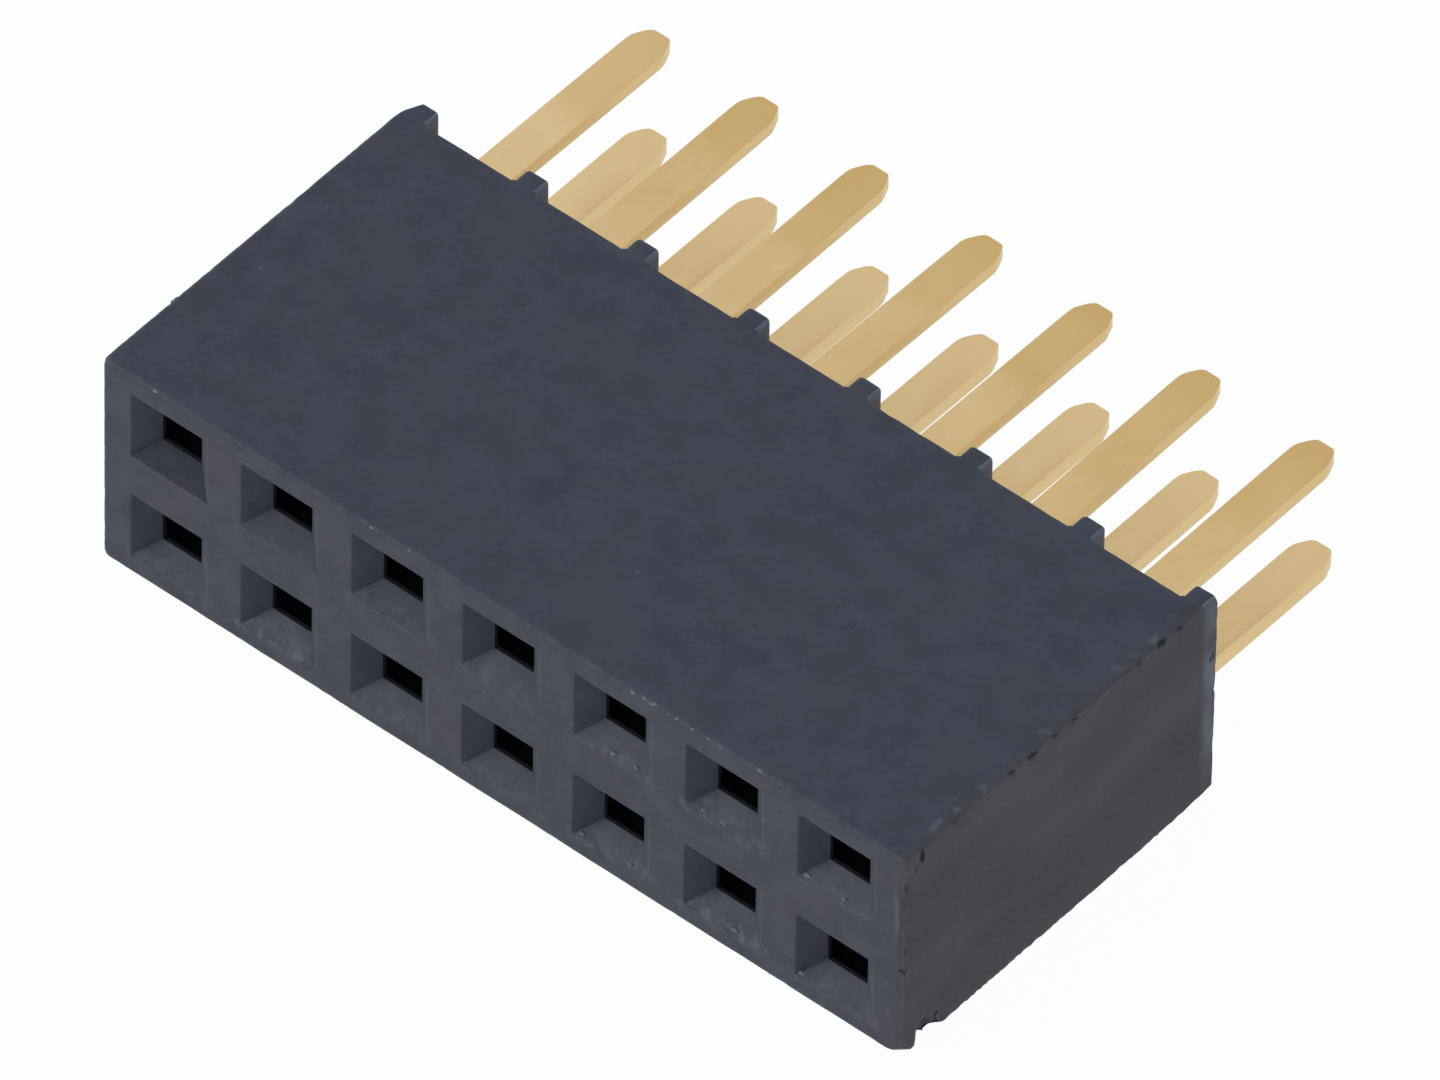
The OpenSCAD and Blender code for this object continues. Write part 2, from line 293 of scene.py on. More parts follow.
# Chip of the cut end, and dark nicks along its edges: centre, radii. Those along its upper edge
# share one shape, and are given by their place along the edge and their size.
CHIPS = [
    ((END_X + 0.10, 0.45, -0.02), (0.36, 0.19, 0.53)),
    ((END_X + 0.06, 0.70, -0.02), (0.26, 0.22, 0.32)),
]
NICKS = [
    ((END_X + 0.02, 0.70, 0.34), (0.06, 0.06, 0.06)),
    ((END_X + 0.03, 0.33, 3.84), (0.09, 0.06, 0.13)),
    ((END_X + 0.03, 0.20, 3.70), (0.06, 0.04, 0.07)),
    ((END_X + 0.02, 0.02, 3.36), (0.05, 0.05, 0.12)),
    ((END_X + 0.02, 0.02, 2.20), (0.05, 0.05, 0.05)),
    ((END_X - 0.03, -0.02, 1.76), (0.06, 0.06, 0.05)),
    ((END_X + 0.02, DEPTH - 0.05, 2.78), (0.07, 0.09, 0.10)),
    ((END_X + 0.02, DEPTH - 0.02, 2.10), (0.06, 0.07, 0.10)),
]
UPPER_NICKS = [(5.79, 0.05), (5.42, 0.065), (4.94, 0.05), (3.54, 0.045),
               (3.16, 0.05), (2.67, 0.07), (2.23, 0.05), (1.02, 0.04)]
UPPER_NICK_SHAPE, UPPER_NICK_OUT = np.array([1.0, 1.4, 0.9]), 0.01
NICKS += [((END_X + UPPER_NICK_OUT, along, WIDTH + UPPER_NICK_OUT), size * UPPER_NICK_SHAPE)
          for along, size in UPPER_NICKS]
CHIP_ROUGHNESS, CHIP_SEED = 0.08, 30
NICK_ROUGHNESS, NICK_SEED = 0.12, 10
PIT_SHADE_DEPTH, PIT_SHADE_DARKEST = 0.06, 0.9
for number, (centre, radii) in enumerate(CHIPS):
    outer = scooped(outer, np.array(centre), np.array(radii), CHIP_ROUGHNESS, CHIP_SEED + number)
whole = outer
for number, (centre, radii) in enumerate(NICKS):
    outer = scooped(outer, np.array(centre), np.array(radii), NICK_ROUGHNESS, NICK_SEED + number)
# Painted shade: each nick's points are painted darker the deeper they were gouged, standing in for the
# shade in its hollow
painted_shade = np.clip(np.linalg.norm(outer - whole, axis=1) / PIT_SHADE_DEPTH, 0, PIT_SHADE_DARKEST)

# Pale torn flakes: centre and radii of the patches they cover. Those along the upper edge of the
# cut end are given by their place along it and their reach.
UPPER_FLAKES = [(5.39, 0.12), (5.02, 0.08), (4.63, 0.18), (3.46, 0.05),
                (3.10, 0.08), (1.76, 0.10), (1.22, 0.06), (0.82, 0.16)]
UPPER_FLAKE_IN, UPPER_FLAKE_WIDE, UPPER_FLAKE_DEEP = 0.15, 0.09, 0.06
FLAKES = [((END_X - UPPER_FLAKE_IN, along, WIDTH), (UPPER_FLAKE_WIDE, reach, UPPER_FLAKE_DEEP))
          for along, reach in UPPER_FLAKES]
FLAKES += [
    ((END_X - 0.15, 0.0, 2.85), (0.06, 0.05, 0.50)),
    ((END_X - 0.02, 0.0, 1.09), (0.05, 0.05, 0.05)),
    ((END_X - 0.28, 0.0, 0.72), (0.06, 0.05, 0.05)),
]
TORN_SWING, TORN_RIPPLE, TORN_SEED = 0.3, 0.2, 40
FLAKE_DEPTH, FLAKE_RIPPLE, FLAKE_SEED = 0.012, 0.08, 41
FLAKE_SHARE = 0.40
torn = 1 + TORN_SWING * ripple(outer, TORN_RIPPLE, TORN_SEED)
pale_and_painted_light = np.max([np.clip(torn - np.linalg.norm((outer - centre) / radii, axis=1), 0, 1)
               for centre, radii in np.array(FLAKES)], axis=0)
lifted = FLAKE_DEPTH * pale_and_painted_light * np.abs(ripple(outer, FLAKE_RIPPLE, FLAKE_SEED))
outer += inward * lifted[:, None]

# Painted light: the ribs' right sides are painted pale above a height, standing in for the light that
# falls on them, and the one at the cut end in patches
RIB_PAINTED_LIGHT, RIB_PAINTED_LIGHT_FROM, RIB_PAINTED_LIGHT_FADE = 0.9, 1.0, 1.5
END_PAINTED_LIGHT, END_PAINTED_LIGHT_FROM, END_PAINTED_LIGHT_FADE = 0.7, 0.2, 0.15
PATCH_MEAN, PATCH_SWING, PATCH_LEAST, PATCH_MOST = 0.8, 0.4, 0.3, 1.2
PATCH_RIPPLE, PATCH_SEED = 0.8, 42
patch = PATCH_MEAN + PATCH_SWING * ripple(outer, PATCH_RIPPLE, PATCH_SEED)
end_painted_light = END_PAINTED_LIGHT * np.clip(z - END_PAINTED_LIGHT_FROM, 0, 1) * np.clip((y - BAY) / END_PAINTED_LIGHT_FADE, 0, 1)
end_painted_light = end_painted_light * np.clip(patch, PATCH_LEAST, PATCH_MOST)
rib_painted_light = RIB_PAINTED_LIGHT * np.clip((z - RIB_PAINTED_LIGHT_FROM) / RIB_PAINTED_LIGHT_FADE, 0, 1)
flank = on_rib & (x > np.minimum(rib_x + RIB_HALF, END_X) - EDGE_RADIUS / 2)
pale_and_painted_light = np.maximum(FLAKE_SHARE * pale_and_painted_light, np.where(x < END_X - TINY, rib_painted_light, end_painted_light) * flank)
outer = np.clip(outer, box_low, box_high)

# How rubbed the lower lips of the mouths are: most alike, and some less or more
LIP_WEAR_OF_MOST = 1.2
LIP_WEAR = {"a1": 0.5, "a2": 0.85, "a3": 0.85, "a6": 1.8, "b2": 2.2, "b5": 1.8, "b6": 2.6}
socket_wear = np.array([[LIP_WEAR.get(f"{row}{number}", LIP_WEAR_OF_MOST)
                         for number in range(1, len(COLUMNS) + 1)] for row in "ab"])


def lip_wear(x, z):
    """Wear of the lower lip of the socket nearest to each point."""
    return socket_wear[np.where(z > WIDTH / 2, 0, 1), nearest_column(x).astype(int) - COLUMNS[0]]


# Inside of the sockets, on a few lines along their depth
FUNNEL_LINES, POCKET_LINE = [0.08, 0.15, 0.22], 2.5
wall_depth, _ = funnel_profile(MOUTH_X, THROAT_X)
inner_ys = np.concatenate([wall_depth[:ARC_POINTS], FUNNEL_LINES, wall_depth[ARC_POINTS:],
                           [POCKET_START, POCKET_LINE, BAY]])
air, _ = socket_cells(inner_ys)
corners, quads = shell(air)
inner = np.stack([xs[corners[:, 0]], inner_ys[corners[:, 1]], zs[corners[:, 2]]], axis=1)
level = inner[:, 1][quads]
open_end = (level < TINY).all(axis=1) | (level > BAY - TINY).all(axis=1)
used, inner_quads = np.unique(quads[~open_end][:, ::-1], return_inverse=True)
inner_quads = inner_quads.reshape(-1, 4)
inner = inner[used]

# Tone of the funnels: the lower walls are pale towards a rubbed lip and towards the cut end, and get
# painted shade where their lip wear is below one. The left walls get a little painted shade, and all
# behind them is painted black as shade.
LIP_DEPTH = 0.24
WALL_PALE, WALL_PALE_PER_MM = 0.03, 0.004
LEFT_WALL_PAINTED_SHADE = 0.15
inner_x, inner_y, inner_z = inner.T
off_x, off_z = socket_offsets(inner_x, inner_z)
lower_wall = off_z < TINY - THROAT_Z
left_wall = off_x < TINY - THROAT_X
inner_wear = lip_wear(inner_x, inner_z)
inner_lip = lower_wall * np.clip(1 - inner_y / LIP_DEPTH, 0, 1) * inner_wear
little_worn_painted_shade = lower_wall * np.clip(1 - inner_wear, 0, 1)
inner_painted_shade = np.where(inner_y > FUNNEL_DEPTH, 1.0, np.maximum(LEFT_WALL_PAINTED_SHADE * left_wall, little_worn_painted_shade))
inner_pale = np.clip(WALL_PALE + WALL_PALE_PER_MM * inner_x, 0, 1)
inner_pale = lower_wall * (inner_y < FUNNEL_DEPTH) * inner_pale
inner = opened(inner)

# Rubbed lower lips on the face round the mouths
FACE_DEPTH, LIP_PAST_MOUTH, LIP_REACH = 0.05, 0.1, 0.09
off_x, off_z = socket_offsets(outer[:, 0], outer[:, 2])
lip = (y < FACE_DEPTH) * (np.abs(off_x) < MOUTH_X + LIP_PAST_MOUTH)
lip = lip * np.exp(-((off_z + MOUTH_Z) / LIP_REACH) ** 2) * lip_wear(outer[:, 0], outer[:, 2])

# Crumbs of plastic: their centres on the front and left upper edges, and in the mouths on their
# lower walls, where the second number is the row
FRONT_CRUMBS = (-6.26, -2.33, -1.68, 2.34, 2.53, 2.70, 3.11, 3.40, 3.68, 3.91, 4.60)
LEFT_CRUMBS = (1.46, 1.54)
MOUTH_CRUMBS = [(1.99, 0), (2.40, 0), (1.45, 1), (2.31, 1), (3.60, 0),
                (3.96, 0), (4.19, 1), (5.45, 0), (6.11, 0), (5.40, 1)]
FRONT_CRUMB_IN, LEFT_CRUMB_IN = 0.04, 0.035
MOUTH_CRUMB_IN, MOUTH_CRUMB_UP = 0.05, 0.06
CRUMBS = [(along, FRONT_CRUMB_IN, WIDTH - FRONT_CRUMB_IN) for along in FRONT_CRUMBS]
CRUMBS += [(-END_X + LEFT_CRUMB_IN, along, WIDTH - LEFT_CRUMB_IN) for along in LEFT_CRUMBS]
CRUMBS += [(along, MOUTH_CRUMB_IN, ROW_Z[row] - MOUTH_Z + MOUTH_CRUMB_UP)
           for along, row in MOUTH_CRUMBS]
CRUMB_RINGS, CRUMB_SIDES = 7, 8
CRUMB_SIZE, CRUMB_SHAPE, CRUMB_SPREAD = 0.032, np.array([1.5, 1.0, 0.6]), (0.8, 1.4)
CRUMB_LUMP, CRUMB_RIPPLE, CRUMB_SEED = 0.25, 0.05, 50


def crumbs(centres):
    """Small rough balls: for each centre a grid of latitude and longitude on a ball whose radius
    swells and shrinks with a ripple, closed by shared poles."""
    rng = np.random.default_rng(CRUMB_SEED)
    count = len(centres)
    north, east = np.meshgrid(np.linspace(0, np.pi, CRUMB_RINGS),
                              np.linspace(0, 2 * np.pi, CRUMB_SIDES + 1)[:-1], indexing="ij")
    ball = np.stack([np.sin(north) * np.cos(east), np.sin(north) * np.sin(east), np.cos(north)], axis=-1)
    ball = ball.reshape(1, -1, 3)
    radii = CRUMB_SIZE * rng.uniform(*CRUMB_SPREAD, (count, 1, 3)) * CRUMB_SHAPE
    points = np.array(centres)[:, None] + ball * radii
    lumps = ripple(points.reshape(-1, 3), CRUMB_RIPPLE, CRUMB_SEED).reshape(count, -1, 1)
    points += CRUMB_LUMP * CRUMB_SIZE * ball * lumps
    points[:, :CRUMB_SIDES] = points[:, :CRUMB_SIDES].mean(axis=1, keepdims=True)
    points[:, -CRUMB_SIDES:] = points[:, -CRUMB_SIDES:].mean(axis=1, keepdims=True)
    grid = np.arange(CRUMB_RINGS * CRUMB_SIDES).reshape(CRUMB_RINGS, CRUMB_SIDES)
    after = np.roll(grid, -1, axis=1)
    faces = np.stack([grid[:-1], grid[1:], after[1:], after[:-1]], axis=-1).reshape(-1, 4)
    faces = faces + grid.size * np.arange(count)[:, None, None]
    return points.reshape(-1, 3), faces.reshape(-1, 4)


crumb_points, crumb_quads = crumbs(CRUMBS)
crumb_points = np.clip(crumb_points, box_low, box_high)


def joined(*surfaces):
    """Surfaces set together in one mesh, in which equal points become one. Gives the points, the
    quads, and the number that each point had first."""
    points = np.concatenate([points for points, _ in surfaces])
    starts = np.cumsum([0] + [len(points) for points, _ in surfaces])
    quads = np.concatenate([quads + start for (_, quads), start in zip(surfaces, starts)])
    _, first, same = np.unique(np.round(points, 6), axis=0, return_index=True, return_inverse=True)
    return points[first], same.reshape(-1)[quads], first


SHARP_ANGLE = np.radians(32)


def piece(name, points, quads, values=None):
    """Mesh object in metres from points in millimetres and quads, smooth but for its sharp edges,
    with each named value on its points. A quad with one side of no length becomes a triangle, and
    one with more such sides goes."""
    mesh = bpy.data.meshes.new(name)
    short = quads == np.roll(quads, -1, axis=1)
    lost = short.sum(axis=1)
    triangles = quads[lost == 1][~short[lost == 1]].reshape(-1, 3)
    mesh.from_pydata((points * MM).tolist(), [], quads[lost == 0].tolist() + triangles.tolist())
    for label, value in (values or {}).items():
        mesh.attributes.new(label, "FLOAT", "POINT").data.foreach_set("value", value.astype(np.float32))
    mesh.shade_smooth()
    mesh.set_sharp_from_angle(angle=SHARP_ANGLE)
    mesh.validate()
    obj = bpy.data.objects.new(name, mesh)
    bpy.context.scene.collection.objects.link(obj)
    return obj


points, quads, first = joined((outer, outer_quads), (inner, inner_quads), (crumb_points, crumb_quads))
none, bits = np.zeros(len(inner)), np.ones(len(crumb_points))
values = {name: np.concatenate(parts)[first] for name, parts in {
    "edge": (edge, none, 0 * bits),
    "cut": (cut, none, 0 * bits),
    "pale_and_painted_light": (pale_and_painted_light, inner_pale, bits),
    "painted_shade": (painted_shade, inner_painted_shade, 0 * bits),
    "lip": (lip, inner_lip, 0 * bits),
}.items()}
housing = piece("moulded_housing", points + np.array([0, FRONT, 0]), quads, values)


def node(tree, kind, links=(), **settings):
    """Adds a node, sets its properties and plain inputs, and links sockets to its inputs."""
    made = tree.nodes.new(kind)
    inputs = settings.pop("inputs", {})
    for key, value in settings.items():
        setattr(made, key, value)
    for key, value in inputs.items():
        made.inputs[key].default_value = value
    for key, socket in dict(links).items():
        tree.links.new(socket, made.inputs[key])
    return made


def tone_group():
    """Uneven tone of a surface: soft patches, and a fine grain that can be stretched along the
    tails' direction by a share below one."""
    group = bpy.data.node_groups.new("surface_tone", "ShaderNodeTree")
    for name in ("Patch scale", "Grain scale", "Grain stretch"):
        group.interface.new_socket(name, in_out="INPUT", socket_type="NodeSocketFloat")
    for name in ("Patch", "Grain"):
        group.interface.new_socket(name, in_out="OUTPUT", socket_type="NodeSocketFloat")
    given = node(group, "NodeGroupInput").outputs
    place = node(group, "ShaderNodeTexCoord").outputs["Object"]
    patch = node(group, "ShaderNodeTexNoise", {"Vector": place, "Scale": given["Patch scale"]},
                 inputs={"Detail": 5.0, "Roughness": 0.66})
    stretch = node(group, "ShaderNodeCombineXYZ", {"Y": given["Grain stretch"]},
                   inputs={"X": 1.0, "Z": 1.0})
    along = node(group, "ShaderNodeVectorMath", {0: place, 1: stretch.outputs[0]},
                 operation="MULTIPLY")
    grain = node(group, "ShaderNodeTexNoise",
                 {"Vector": along.outputs[0], "Scale": given["Grain scale"]},
                 inputs={"Detail": 2.0, "Roughness": 0.55})
    node(group, "NodeGroupOutput", {"Patch": patch.outputs["Fac"], "Grain": grain.outputs["Fac"]})
    return group


surface_tone = tone_group()


def toned(tree, patch_scale, grain_scale, grain_stretch):
    """Outputs of the surface tone placed in a material with its own values."""
    given = {"Patch scale": patch_scale, "Grain scale": grain_scale, "Grain stretch": grain_stretch}
    return node(tree, "ShaderNodeGroup", node_tree=surface_tone, inputs=given).outputs


def masks(tree, names):
    """Sockets of the named values on the points of a piece."""
    return {name: node(tree, "ShaderNodeAttribute", attribute_name=name).outputs["Fac"]
            for name in names}


def empty_tree(owner):
    """Node tree of a material or of the world, switched on and cleared."""
    owner.use_nodes = True
    owner.node_tree.nodes.clear()
    return owner.node_tree


def new_material(name):
    """Node material with its output and one principled shader."""
    material = bpy.data.materials.new(name)
    tree = empty_tree(material)
    shader = node(tree, "ShaderNodeBsdfPrincipled")
    node(tree, "ShaderNodeOutputMaterial", {"Surface": shader.outputs[0]})
    return material, tree, shader


# Places of the colour sockets on a mix node, where their names repeat
MIX_SHARE, MIX_FIRST, MIX_SECOND, MIX_RESULT = 0, 6, 7, 2


def mixed(tree, share, first, second):
    """Colour mix of two colours or colour sockets by a share socket."""
    mix = node(tree, "ShaderNodeMix", data_type="RGBA")
    for place, given in ((MIX_SHARE, share), (MIX_FIRST, first), (MIX_SECOND, second)):
        if isinstance(given, bpy.types.NodeSocket):
            tree.links.new(given, mix.inputs[place])
        else:
            mix.inputs[place].default_value = given
    return mix.outputs[MIX_RESULT]


def ramp(tree, socket, low, high, bottom=0.0, top=1.0):
    """Value carried from one span to another, held at its ends."""
    spans = {"From Min": low, "From Max": high, "To Min": bottom, "To Max": top}
    return node(tree, "ShaderNodeMapRange", {"Value": socket}, inputs=spans).outputs[0]


PLASTIC_DEEP = (0.037, 0.045, 0.060, 1)
PLASTIC_LIGHT = (0.057, 0.064, 0.081, 1)
PLASTIC_VIOLET = (0.057, 0.055, 0.069, 1)
PLASTIC_CUT = (0.034, 0.032, 0.038, 1)
PLASTIC_SCRAPED = (0.062, 0.060, 0.063, 1)
PLASTIC_TORN = (0.19, 0.20, 0.21, 1)
PLASTIC_PAINTED_SHADE = (0.010, 0.011, 0.015, 1)
EDGE_SHARE, PIT_MATT, PLASTIC_GRAIN_DEPTH = 0.6, 0.35, 0.006
material, tree, shader = new_material("moulded_plastic")
tone = toned(tree, patch_scale=1700.0, grain_scale=26000.0, grain_stretch=1.0)
cloud = toned(tree, patch_scale=800.0, grain_scale=800.0, grain_stretch=0.35)
fleck = toned(tree, patch_scale=5000.0, grain_scale=9000.0, grain_stretch=1.0)
mask = masks(tree, values)
body = mixed(tree, ramp(tree, tone["Patch"], 0.40, 0.60), PLASTIC_DEEP, PLASTIC_LIGHT)
body = mixed(tree, ramp(tree, cloud["Patch"], 0.45, 0.65, 0.0, 0.8), body, PLASTIC_VIOLET)
sawn = mixed(tree, ramp(tree, cloud["Grain"], 0.35, 0.65), PLASTIC_CUT, PLASTIC_SCRAPED)
body = mixed(tree, ramp(tree, mask["cut"], 0.7, 1.0), body, sawn)
worn = node(tree, "ShaderNodeMath", {0: mask["edge"], 2: mask["lip"]},
            operation="MULTIPLY_ADD", inputs={1: EDGE_SHARE})
scratched = ramp(tree, fleck["Patch"], 0.45, 0.75, 0.0, 0.35)
rubbed = node(tree, "ShaderNodeMath", {0: scratched, 1: worn.outputs[0]}, operation="MULTIPLY")
dust = ramp(tree, fleck["Grain"], 0.72, 0.78, 0.0, 0.35)
# Pale marks: rubbed edges and lips, dust, and a mask of torn flakes, crumbs, pale lower walls and
# painted light on the ribs' right sides
for mark in (rubbed.outputs[0], dust, mask["pale_and_painted_light"]):
    body = mixed(tree, mark, body, PLASTIC_TORN)
# Painted shade: the painted shade mask darkens the nicks, some funnel walls and all behind the throats
# towards near-black
tree.links.new(mixed(tree, mask["painted_shade"], body, PLASTIC_PAINTED_SHADE), shader.inputs["Base Color"])
grained = ramp(tree, tone["Grain"], 0.2, 0.8, 0.52, 0.68)
matt = node(tree, "ShaderNodeMath", {0: mask["painted_shade"], 2: grained},
            operation="MULTIPLY_ADD", inputs={1: PIT_MATT})
tree.links.new(matt.outputs[0], shader.inputs["Roughness"])
shader.inputs["Specular IOR Level"].default_value = 0.30
bump = node(tree, "ShaderNodeBump", {"Height": tone["Grain"]},
            inputs={"Strength": 0.35, "Distance": PLASTIC_GRAIN_DEPTH * MM})
tree.links.new(bump.outputs[0], shader.inputs["Normal"])
housing.data.materials.append(material)
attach(housing, "root")
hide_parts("housing")

# Contacts: each is stamped from gold-plated spring sheet and folded into a channel that barbs
# hold in its pocket. Two leaves run forward from the channel walls to grip a pin, and a flat
# tail steps up from its base to the socket axis and out of the rear.
SHEET = 0.27
SHEET_EDGE = 0.03
CHANNEL_HALF, CHANNEL_HEIGHT, CHANNEL_LENGTH, CHANNEL_SETBACK = 0.65, 1.12, 1.60, 0.90
HALF = CHANNEL_LENGTH / 2
CHANNEL_REAR = BAY - CHANNEL_SETBACK
CHANNEL_FRONT = CHANNEL_REAR - CHANNEL_LENGTH
FOLD_INSIDE = 0.05
FOLD_RADIUS = FOLD_INSIDE + SHEET / 2
WALL_X = CHANNEL_HALF - SHEET / 2
BASE_Z = POCKET_FLOOR + SHEET / 2
BASE_HALF = WALL_X - FOLD_RADIUS
FOLD_END = BASE_HALF + FOLD_RADIUS * np.pi / 2
SHEET_HALF = FOLD_END + CHANNEL_HEIGHT - SHEET / 2 - FOLD_RADIUS
GRIP_GAP, LEAF_SETBACK = 0.42, 0.40
LEAF_TIP_Y = POCKET_START + LEAF_SETBACK
LEAF_ROOT_RADIUS, LEAF_GRIP_RADIUS = 0.40, 0.50
FLARE, FLARE_LENGTH = np.radians(22), 0.25
LEAF_HALF, LEAF_TIP_HALF = CHANNEL_HEIGHT / 2 - SHEET - FOLD_INSIDE, 0.20
LEAF_LOW, LEAF_MID, LEAF_HIGH = FOLD_END, FOLD_END + LEAF_HALF, FOLD_END + 2 * LEAF_HALF
BARB_RISE, BARB_START = 0.10, 0.03
BARB_HALF_LENGTH, BARB_HALF_HEIGHT = 0.20, 0.17
TAIL_HALF, TAIL_STEP, TAIL_BEND = 0.31, 0.80, 0.25
TAIL_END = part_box("contact_a1")[1][1] / MM - FRONT

# Tip of the tail, with its left and its right side: half-width, rounding of its corners, softness
# of its shoulders, and what these would take off the full width
TIP_LENGTH = 0.28
TIP_HALF, TIP_CORNER, TIP_SHOULDER = (0.13, 0.19), (0.10, 0.05), (0.04, 0.02)
SHOULDER_LOSS = 0.0008

# Mesh lines over each fold, bend and straight stretch, across the tail, and back from its tip
FOLD_LINES, BEND_LINES, STRAIGHT_LINES = 5, 6, 4
ACROSS_TAIL = np.array([-0.15, 0, 0.15])
BACK_FROM_TIP = np.linspace(0.04, 0.44, 11)
TIP_LINES_APART = 0.008


def sideways_step(reach, shift, first, second):
    """Straight length and angle of two opposite bends that shift a strip sideways over a reach.
    The straight touches both bend circles on opposite sides, so its square is that of the distance
    between their centres less that of the sum of their radii."""
    radii = first + second
    straight = np.sqrt(reach ** 2 + (shift - radii) ** 2 - radii ** 2)
    return straight, np.arctan2(reach, radii - shift) - np.arctan2(straight, radii)


class BentPath:
    """Path of a strip from lengths and turns: its heading rises evenly along each stretch, and
    its points are the running sum of small steps that way."""

    STEPS = 6000

    def __init__(self, stretches):
        lengths, turns = np.array(stretches).T
        self.knots = np.concatenate([[0], np.cumsum(lengths)])
        self.total = self.knots[-1]
        self.run = np.linspace(0, self.total, self.STEPS + 1)
        self.heading = np.interp(self.run, self.knots, np.concatenate([[0], np.cumsum(turns)]))
        middle = (self.heading[1:] + self.heading[:-1]) / 2
        step = self.total / self.STEPS
        self.ahead = np.concatenate([[0], np.cumsum(np.cos(middle) * step)])
        self.aside = np.concatenate([[0], np.cumsum(np.sin(middle) * step)])

    def at(self, run, lift):
        """Distance ahead and aside at each run, lifted off the path towards its left."""
        heading, ahead, aside = (np.interp(run, self.run, line)
                                 for line in (self.heading, self.ahead, self.aside))
        return ahead - lift * np.sin(heading), aside + lift * np.cos(heading)

    def lines(self):
        """Mesh lines along the path: each stretch is split into even steps."""
        turned = np.abs(np.diff(np.interp(self.knots, self.run, self.heading))) > TINY
        steps = [np.linspace(start, end, (BEND_LINES if bent else STRAIGHT_LINES) + 1)
                 for start, end, bent in zip(self.knots, self.knots[1:], turned)]
        return np.unique(np.round(np.concatenate(steps), 5))


straight, turn = sideways_step(TAIL_STEP, -BASE_Z, TAIL_BEND, TAIL_BEND)
tail_path = BentPath([(TAIL_BEND * turn, turn), (straight, 0), (TAIL_BEND * turn, -turn),
                      (TAIL_END - CHANNEL_REAR - TAIL_STEP, 0)])
flare_reach = LEAF_GRIP_RADIUS * np.sin(FLARE) + FLARE_LENGTH * np.cos(FLARE)
straight, turn = sideways_step(CHANNEL_FRONT - LEAF_TIP_Y - flare_reach, WALL_X - (GRIP_GAP + SHEET) / 2,
                               LEAF_ROOT_RADIUS, LEAF_GRIP_RADIUS)
leaf_path = BentPath([(LEAF_ROOT_RADIUS * turn, turn), (straight, 0), (LEAF_GRIP_RADIUS * turn, -turn),
                      (LEAF_GRIP_RADIUS * FLARE, -FLARE), (FLARE_LENGTH, 0)])
TAIL_TIP, LEAF_TIP = HALF + tail_path.total, -HALF - leaf_path.total

# Flat blank: lines across it, along it and through the sheet
rim = SHEET_EDGE * FAN
side_lines = np.concatenate([TAIL_HALF - rim, np.linspace(BASE_HALF, FOLD_END, FOLD_LINES + 1),
                             LEAF_LOW + rim, LEAF_HIGH - rim, SHEET_HALF - rim,
                             LEAF_MID + np.array([-BARB_HALF_HEIGHT, BARB_HALF_HEIGHT])])
across = mesh_lines([side_lines, -side_lines], ACROSS_TAIL)
along = mesh_lines([HALF + tail_path.lines(), -HALF - leaf_path.lines(),
                    [-BARB_HALF_LENGTH, BARB_HALF_LENGTH], HALF - rim, rim - HALF,
                    TAIL_TIP - rim, LEAF_TIP + rim], TAIL_TIP - BACK_FROM_TIP, TIP_LINES_APART)
through = np.unique(np.concatenate([[-SHEET / 2 - BARB_RISE], SHEET / 2 - rim, rim - SHEET / 2]))
s, t, w = np.meshgrid(*[(line[1:] + line[:-1]) / 2 for line in (across, along, through)],
                      indexing="ij")
leaf_cell = (np.abs(s) > LEAF_LOW) & (np.abs(s) < LEAF_HIGH)
barb_cell = (np.abs(np.abs(s) - LEAF_MID) < BARB_HALF_HEIGHT) & (np.abs(t) < BARB_HALF_LENGTH)
blank = (np.abs(t) < HALF) | ((t > 0) & (np.abs(s) < TAIL_HALF)) | ((t < 0) & leaf_cell)
corners, contact_quads = shell(np.where(w > -SHEET / 2, blank, barb_cell))
flat = np.stack([across[corners[:, 0]], along[corners[:, 1]], through[corners[:, 2]]], axis=1)

# Stamped rims: round edges on the channel, the tail and the leaves
s, t, w = flat.T
side = np.sign(s)
on_tail = t > HALF + TINY
on_leaf = t < -HALF - TINY
by_tail = (np.abs(s) < TAIL_HALF + TINY) & (t > 0)
by_leaf = (np.abs(s) > LEAF_LOW - TINY) & (np.abs(s) < LEAF_HIGH + TINY) & (t < 0)
low_s = np.select([on_tail, on_leaf], [0 * s - TAIL_HALF, side * LEAF_MID - LEAF_HALF], -SHEET_HALF)
high_s = np.select([on_tail, on_leaf], [0 * s + TAIL_HALF, side * LEAF_MID + LEAF_HALF], SHEET_HALF)
low_t = np.select([on_tail, on_leaf, by_leaf], [0 * s - FAR, 0 * s + LEAF_TIP, 0 * s - FAR], -HALF)
high_t = np.select([on_leaf, on_tail, by_tail], [0 * s + FAR, 0 * s + TAIL_TIP, 0 * s + FAR], HALF)
low = np.stack([low_s, low_t, 0 * s - SHEET / 2], axis=1)
high = np.stack([high_s, high_t, 0 * s + SHEET / 2], axis=1)
sheet = w > -SHEET / 2 - TINY
flat[sheet] = rounded(flat[sheet], low[sheet], high[sheet], SHEET_EDGE)
s, t, w = flat.T
barb_share = np.clip((t + BARB_HALF_LENGTH) / (2 * BARB_HALF_LENGTH), BARB_START, 1)
w = np.where(sheet, w, -SHEET / 2 - BARB_RISE * barb_share)

